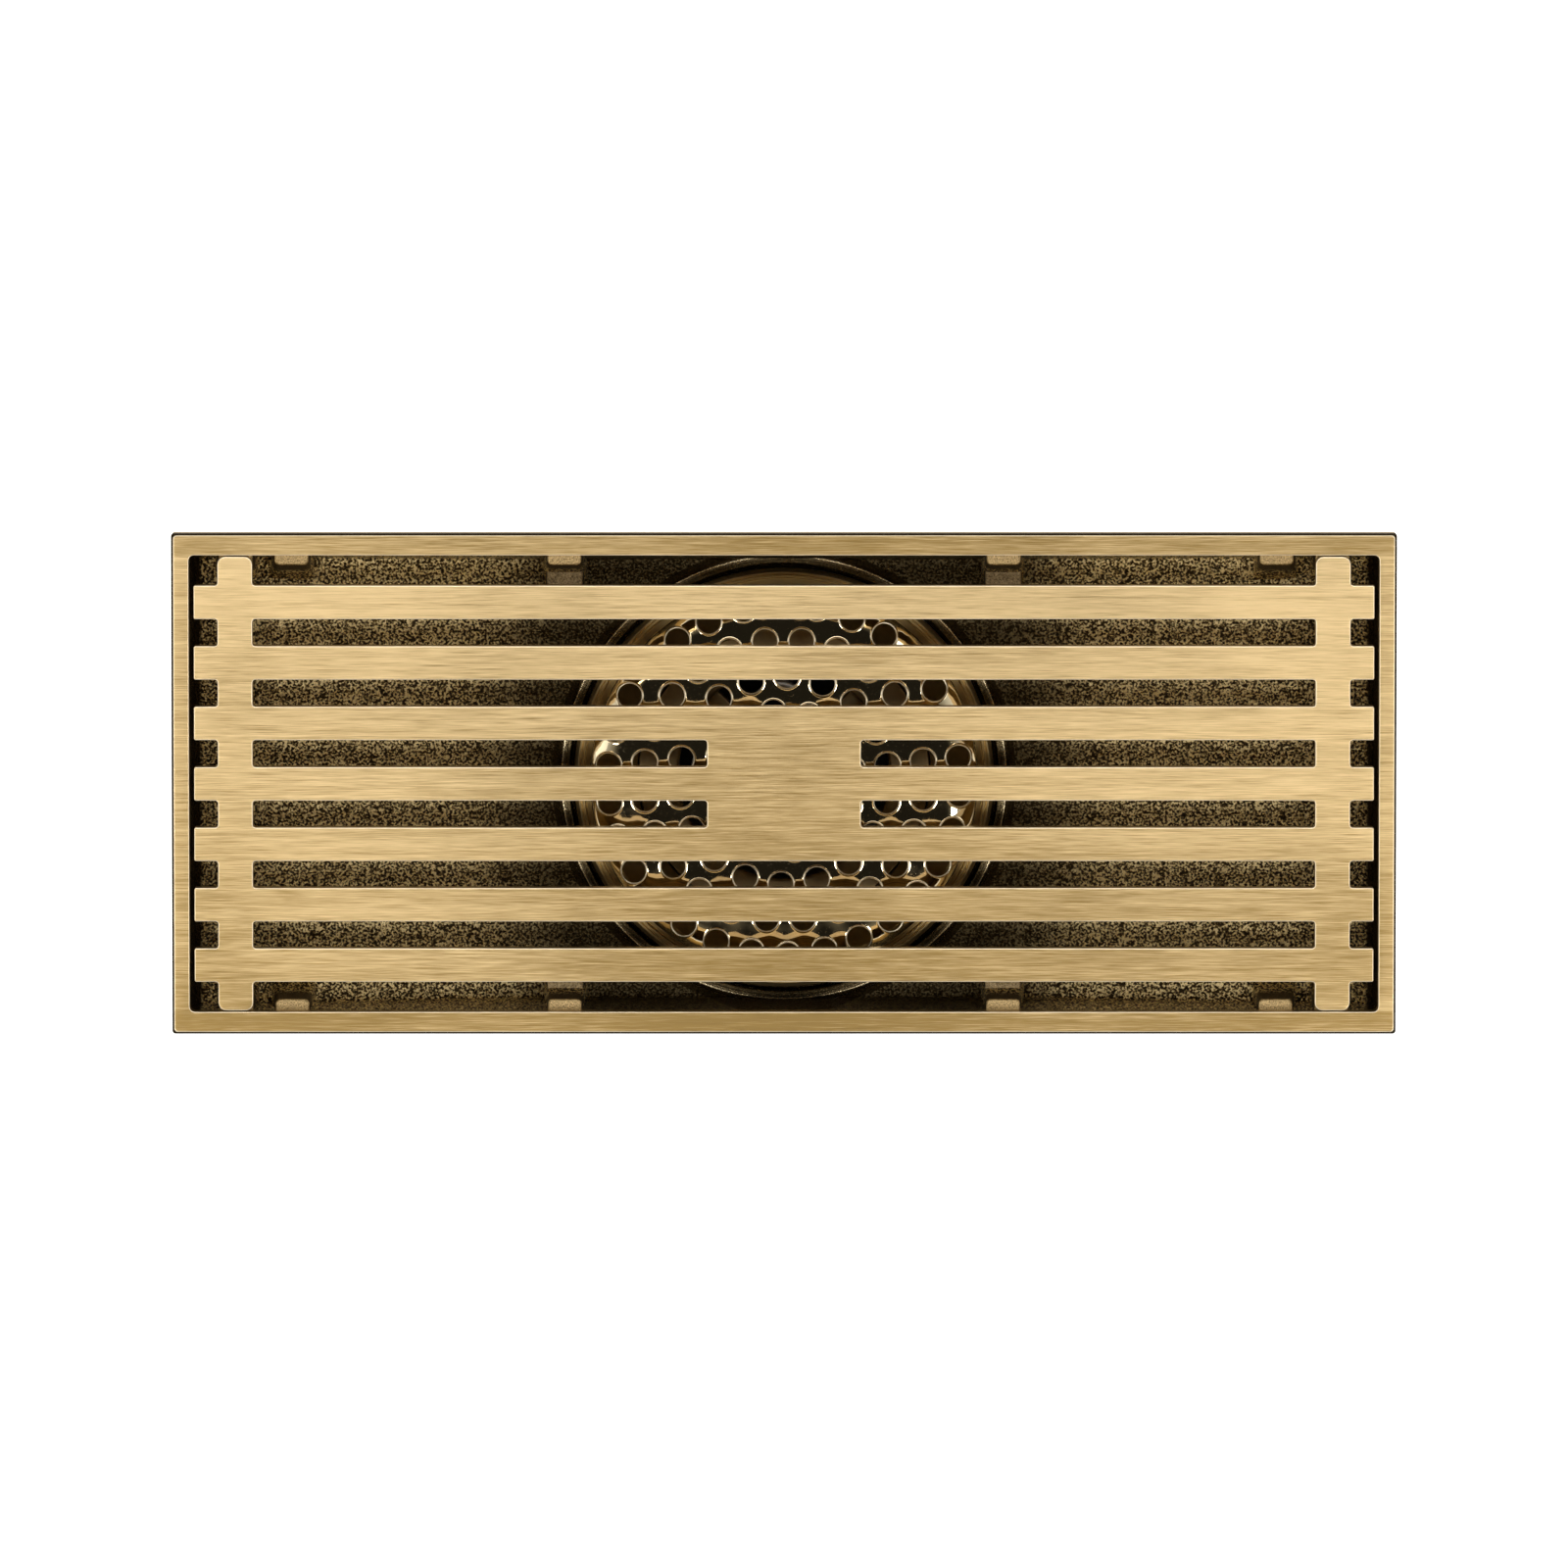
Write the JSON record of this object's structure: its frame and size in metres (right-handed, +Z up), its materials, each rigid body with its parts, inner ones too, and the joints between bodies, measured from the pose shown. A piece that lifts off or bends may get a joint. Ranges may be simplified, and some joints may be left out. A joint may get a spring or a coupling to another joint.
{
  "type": "floor drain grate",
  "caption": "Rectangular brass floor drain: slotted lift-out grate over a cast tray, perforated round strainer and a removable spring-valve odour trap.",
  "frame": {"origin": "centre of the outlet's lower end face, which is also the bottom centre of the whole drain", "axes": "+X along the grate's bars, +Y across them, +Z up out of the floor"},
  "size_m": [0.3, 0.123, 0.086],
  "materials": {
    "brushed_brass": "satin, brushed along the bars",
    "cast_bronze": "rough cast, darkened, with a brushed rim",
    "polished_brass": "mirror polished",
    "turned_brass": "lathe turned",
    "core_casting": "sand cast",
    "stainless_steel": "drawn and plain",
    "black_rubber": "matte",
    "white_plastic": "moulded"
  },
  "bodies": {
    "tray": {"drain_body": "cast_bronze", "outlet_bowl": "cast_bronze"},
    "cover": {"grate": "brushed_brass"},
    "strainer": {"strainer_cap": "polished_brass"},
    "cup": {"trap_cup": "turned_brass", "cup_gasket": "black_rubber"},
    "core": {"core_barrel": "core_casting", "core_seal": "black_rubber", "guide_bush": "white_plastic", "return_spring": "stainless_steel"},
    "valve": {"valve_stem": "stainless_steel", "stem_knob": "turned_brass", "valve_gasket": "black_rubber", "valve_disc": "white_plastic", "valve_washer": "stainless_steel", "valve_nut": "stainless_steel"},
    "bail": {"lift_bail": "stainless_steel"}
  },
  "joints": [
    {"name": "grate_lift", "type": "slide", "parent": "tray", "child": "cover", "axis": [0, 0, 1], "range_m": [0, 0.15]},
    {"name": "strainer_lift", "type": "slide", "parent": "tray", "child": "strainer", "axis": [0, 0, 1], "range_m": [0, 0.105]},
    {"name": "core_lift", "type": "slide", "parent": "tray", "child": "core", "axis": [0, 0, 1], "range_m": [0, 0.06]},
    {"name": "cup_lift", "type": "slide", "parent": "tray", "child": "cup", "axis": [0, 0, 1], "range_m": [0, 0.03]},
    {"name": "valve_drop", "type": "slide", "parent": "core", "child": "valve", "axis": [0, 0, -1], "range_m": [0, 0.006], "stiffness_N_per_m": 80, "springref_m": -0.01, "deforming": ["return_spring"]},
    {"name": "bail_fold", "type": "hinge", "parent": "core", "child": "bail", "pos_m": [0, 0, 0.05], "axis": [0.7071, 0.7071, 0], "range_deg": [0, 180]}
  ],
  "couplings": [
    {"joint": "strainer_lift", "follows": "grate_lift", "ratio": 0.7},
    {"joint": "core_lift", "follows": "grate_lift", "ratio": 0.4},
    {"joint": "cup_lift", "follows": "grate_lift", "ratio": 0.2}
  ]
}
